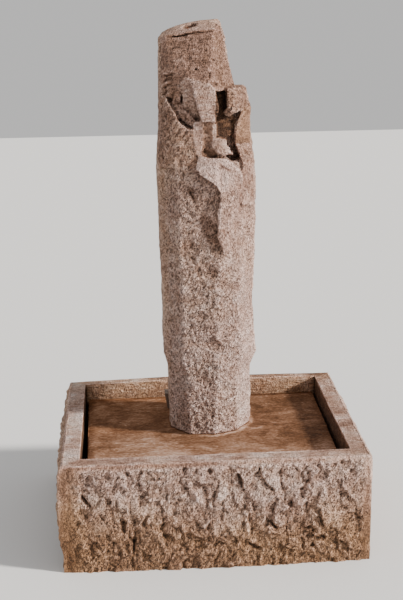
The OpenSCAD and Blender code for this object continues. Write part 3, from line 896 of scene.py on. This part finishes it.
def weather_column(column):
    """Roughens the casting: coarse on the front, finer on the right facet, the head and the left side."""
    set_points(column, blurred(column, get_points(column), 1))
    p = get_points(column)
    x, y, z = p.T
    normals = get_normals(column)
    warp = np.stack([value_noise(p, 0.03, 200 + k) for k in range(3)], axis=1)
    flat = p[:, [0, 2]] / MM + 1.5 * warp[:, [0, 2]]
    ahead = smoothstep(0.045, 0.0, y) * smoothstep(0.35, 0.0, normals[:, 1])

    tone = 0.62 + 0.08 * smoothstep(0.8, 0.45, z)
    warm = 0.20 - 0.12 * smoothstep(0.8, 0.45, z)
    rough = np.full(len(p), 1.0)
    right = smoothstep(-3, 5, flat[:, 0] - np.interp(flat[:, 1], RIDGE[:, 0], RIDGE[:, 1])) * (z < 1.0)
    tone += 0.03 * right
    warm -= 0.10 * right
    rough -= 0.30 * right
    left = smoothstep(-0.092, -0.112, x) + smoothstep(0.02, 0.08, y)
    left = np.clip(left, 0, 1)
    warm += 0.30 * left
    tone += 0.02 * left
    rough -= 0.25 * left
    for pale, warmth, roughness, outline in FACETS.values():
        share = covers([c[:2] for c in outline], flat) * ahead
        tone += share * (0.55 + pale - tone)
        warm += share * (0.18 + warmth - warm)
        rough += share * (roughness - rough)
    crown = smoothstep(0.5, 0.8, normals[:, 2]) * (z > 1.3)
    rough *= 1 - 0.6 * crown
    rough = np.clip(rough, 0.1, 1)

    q = p + 0.006 * warp
    broad, _ = chips(q, 0.080, 210, tilt=0.9, soft=0.3)
    middle, _ = chips(q, 0.030, 220, tilt=1.2, soft=0.3)
    slant = q @ np.array([(1, 0, 0.35), (0, 1, 0), (-0.35, 0, 0.75)])
    chisel = 1 - 1.6 * np.abs(value_noise(slant, 0.0100, 230))
    grit = fractal(q, 0.010, 240, 2, 0.6)
    calm = 1 - 0.75 * smoothstep(1.0, 1.02, z)
    height = 0.080 * 0.07 * broad * calm * (0.3 + 0.7 * rough) + 0.030 * 0.15 * middle * rough
    height += 0.0015 * (chisel - 0.3) * rough + 0.0013 * grit * rough
    marks = np.zeros(len(p))
    crevice_shade = np.zeros(len(p))
    # Lines of the marks, and the spots, are sunk and painted darker: painted shade.
    for path, rise, reach in FRONT_MARKS:
        signed, strength = walk_past(flat, path)
        marks += 0.5 * rise * strength * np.tanh(signed / 2.0) * np.exp(-np.abs(signed) / reach)
        line = strength * np.exp(-(signed / 2.8) ** 2) * min(1, abs(rise) / 6)
        marks -= 3.0 * line
        crevice_shade += 1.2 * line
    for *oval, depth in FRONT_SPOTS:
        share = spot(flat, *oval)
        marks -= depth * share
        crevice_shade += 0.06 * depth * share
    height += marks * MM * ahead
    foot = smoothstep(0.0, 0.006, z - SLAB_TOP)
    hollow_out(column, height * foot)
    paint_relief(column)
    # Painted contact shadow at the foot, where the column meets the slab.
    contact_shadow = smoothstep(0.010, 0.0, z - SLAB_TOP)
    paint(column, "tone", tone - 0.25 * np.clip(crevice_shade, 0, 1) * ahead - 0.20 * contact_shadow)
    paint(column, "warmth", warm)
    paint(column, "rough", rough)
    paint(column, "tooled", 0.1 + 0.7 * smoothstep(1.0, 1.04, z))


def make_column():
    """The CAD shaft below the head, with the faceted head built on it, remeshed and weathered."""
    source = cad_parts["column"]
    column = link(bpy.data.objects.new("column_casting", source.data.copy()))
    column.data.materials.clear()
    cut_level(column, HEAD_FOOT * MM, keep_above=False)
    top = [tuple(c) for c in get_points(column) / MM if c[2] > HEAD_FOOT - 1 and c[1] > 10]
    for corners in HEAD_CORE:
        combine(column, "UNION", convex("core", corners))
    # the back and sides run on from the shaft without a step
    combine(column, "UNION", convex("neck", top + NECK_TOP))
    for name, (_, _, _, outline) in FACETS.items():
        combine(column, "UNION", prism(name, outline, FACET_BACK))
    for name, outline in CUTS.items():
        combine(column, "DIFFERENCE", prism(name, outline, -200))
    combine(column, "DIFFERENCE", convex("outlet", OUTLET))
    apply_modifier(column, "REMESH", mode="VOXEL", voxel_size=COLUMN_VOXEL)
    weather_column(column)
    dress(column, hewn_stone("column_stone"))
    adopt(column, "column")


# ---------------------------------------- slab, piers and fittings

SLAB_VOXEL = 0.0042


def make_slab():
    """The loose pool floor: a trowelled slab with worn edges and a worn, darker border."""
    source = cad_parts["pool_floor_slab"]
    slab = link(bpy.data.objects.new("slab_casting", source.data.copy()))
    slab.data.materials.clear()
    apply_modifier(slab, "REMESH", mode="VOXEL", voxel_size=SLAB_VOXEL)
    set_points(slab, blurred(slab, get_points(slab), 2))
    p = get_points(slab)
    x, y, z = p.T
    low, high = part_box("pool_floor_slab")
    top = smoothstep(0.5, 0.9, get_normals(slab)[:, 2])
    strokes = fractal(p * (0.2, 1, 1), 0.018, 300, 3)
    waves = fractal(p, 0.09, 310, 2)
    edge = np.minimum(np.minimum(x - low[0], high[0] - x), np.minimum(y - low[1], high[1] - y))
    border = smoothstep(0.030, 0.006, edge + 0.004 * waves)
    height = top * (0.0007 * strokes + 0.0010 * waves - 0.0022 * border) - 0.0014
    # the column stands on an untouched patch, with a crust of lime round its front and right
    foot = column_foot()
    signed, _ = walk_past(p[:, :2] / MM, foot + foot[:1])
    away = -signed * MM
    height *= smoothstep(0.0, 0.012, away)
    crust = smoothstep(0.011, 0.003, np.abs(away - 0.006) + 0.003 * fractal(p, 0.012, 320, 2))
    crust *= smoothstep(-0.09, 0.03, x)
    hollow_out(slab, height + 0.0008 * crust * top)
    paint_relief(slab)
    # Painted contact shadow round the column's foot.
    contact_shadow = smoothstep(0.0035, 0.0, away)
    front = smoothstep(-0.06, -0.20, y + 0.04 * waves)
    # Warmer brown where the column's shadow falls: a painted tint of that shadow.
    column_shadow_tint = smoothstep(-0.02, -0.10, x) * smoothstep(-0.06, 0.05, y)
    tone = 0.44 + 0.20 * front - 0.08 * smoothstep(0.05, 0.20, x)
    tone += 0.28 * crust - 0.10 * border - 0.25 * contact_shadow
    paint(slab, "tone", np.where(z > high[2] - 0.01, tone + 0.04 * column_shadow_tint, 0.35))
    paint(slab, "warmth", 0.75 * column_shadow_tint + 0.3 * border - 0.4 * crust)
    dress(slab, tooled_slab_stone("slab_stone"))
    adopt(slab, "pool_floor_slab")


def column_foot():
    """Corners of the column's foot in millimetres, anticlockwise."""
    source = get_points(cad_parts["column"])
    foot = np.unique(np.round(source[source[:, 2] < SLAB_TOP + 0.001, :2] / MM, 1), axis=0)
    middle = 0.5 * (foot.min(axis=0) + foot.max(axis=0))
    foot = foot[np.linalg.norm(foot - middle, axis=1) > 60]
    turn = np.arctan2(foot[:, 1] - middle[1], foot[:, 0] - middle[0])
    return [tuple(corner) for corner in foot[np.argsort(turn)]]


def concrete(name):
    """Plain grey-brown concrete for the piers."""
    s = Shader(name, 0.9)
    clouds = s.spread(s.noise(0.06, 4, 0.6))
    grain = s.spread(s.noise(0.006, 3, 0.7))
    color = s.ramp(s.sum((clouds, 1), (grain, 0.5)), [
        (0.0, (0.080, 0.060, 0.048)), (0.5, (0.230, 0.180, 0.150)), (1.0, (0.380, 0.320, 0.280)),
    ])
    return s.finish(color, s.bump(grain, 0.7, 0.0012))


def dull_metal(name, dark, bright, roughness):
    """Metal gone dull outdoors, brighter where it was handled."""
    s = Shader(name, roughness, metallic=0.9)
    clouds = s.spread(s.noise(0.02, 4, 0.6))
    scratches = s.spread(s.noise(0.002, 3, 0.6, place=s.stretched((1, 1, 0.1))))
    fac = s.sum((clouds, 1), (scratches, 0.4))
    s.put(s.surface.inputs["Roughness"], s.ramp(fac, [(0.0, roughness + 0.25), (1.0, roughness)]))
    return s.finish(s.ramp(fac, [(0.0, dark), (1.0, bright)]), s.bump(scratches, 0.3, 0.0003))


def moulded(name, dark, pale, roughness):
    """Moulded rubber or plastic with a faint bloom and dust in its pores."""
    s = Shader(name, roughness)
    bloom = s.spread(s.noise(0.02, 4, 0.6))
    pores = s.spread(s.noise(0.0012, 2, 0.6))
    fac = s.sum((bloom, 1), (pores, 0.35))
    s.put(s.surface.inputs["Roughness"], s.ramp(bloom, [(0.0, roughness), (1.0, roughness + 0.2)]))
    return s.finish(s.ramp(fac, [(0.0, dark), (1.0, pale)]), s.bump(pores, 0.25, 0.0004))


def dress_fittings():
    """Materials for the pieces whose CAD meshes show as they are."""
    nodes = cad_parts
    pier_stone = concrete("pier_stone")
    dress(nodes["support_pier_left"], pier_stone)
    dress(nodes["support_pier_right"], pier_stone)
    dress(nodes["riser_pipe"], dull_metal("riser_copper", (0.10, 0.040, 0.022), (0.42, 0.19, 0.10), 0.42))
    dress(nodes["hose_tail"], dull_metal("tail_brass", (0.20, 0.13, 0.045), (0.55, 0.40, 0.17), 0.38))
    dress(nodes["cable_block"], moulded("block_grey", (0.085, 0.055, 0.040), (0.26, 0.195, 0.155), 0.75))
    rubber = moulded("black_rubber", (0.012, 0.012, 0.013), (0.050, 0.048, 0.046), 0.6)
    dress(nodes["cable_grommet"], rubber)
    dress(nodes["drain_plug"], rubber)


# ---------------------------------------- camera, lights, floor

def make_camera():
    """Eye-level view, a little left of the middle, with the horizon tipped by under a degree."""
    place = Vector((-0.215, -3.116, 1.464))
    yaw, pitch, roll = (math.radians(a) for a in (3.7, 14.91, -0.83))
    ahead = Vector((math.sin(yaw) * math.cos(pitch), math.cos(yaw) * math.cos(pitch), -math.sin(pitch)))
    level = Vector((math.cos(yaw), -math.sin(yaw), 0))
    upright = level.cross(ahead)
    right = level * math.cos(roll) + upright * math.sin(roll)
    up = upright * math.cos(roll) - level * math.sin(roll)
    data = bpy.data.cameras.new("camera")
    data.sensor_fit = "VERTICAL"
    data.sensor_height = 36
    data.lens = 70.6
    camera = link(bpy.data.objects.new("camera", data))
    m = camera.matrix_world.copy()
    for i, axis in enumerate((right, up, -ahead)):
        for j in range(3):
            m[j][i] = axis[j]
    for j in range(3):
        m[j][3] = place[j]
    camera.matrix_world = m
    bpy.context.scene.camera = camera


def make_lights():
    """A low sun from the right, slightly in front, and a pale even sky."""
    sun = link(bpy.data.objects.new("key", bpy.data.lights.new("key", "SUN")))
    sun.data.energy = 7.5
    sun.data.angle = math.radians(6)
    sun.data.color = (1.0, 0.95, 0.88)
    azimuth = math.radians(-19)
    height = math.radians(24)
    level = math.cos(height)
    towards = Vector((math.cos(azimuth) * level, math.sin(azimuth) * level, math.sin(height)))
    sun.rotation_euler = towards.to_track_quat("Z", "Y").to_euler()
    world = bpy.data.worlds.new("world")
    bpy.context.scene.world = world
    world.use_nodes = True
    background = world.node_tree.nodes["Background"]
    background.inputs["Color"].default_value = (1.0, 0.99, 0.98, 1)
    background.inputs["Strength"].default_value = 0.62


def make_floor():
    """A plain pale floor for the stage."""
    reach = 9
    corners = [(-reach, -reach, 0), (reach, -reach, 0), (reach, reach, 0), (-reach, reach, 0)]
    floor = new_object("floor", corners, [(0, 1, 2, 3)])


make_camera()
make_lights()
make_floor()
make_basin()
make_column()
make_slab()
dress_fittings()
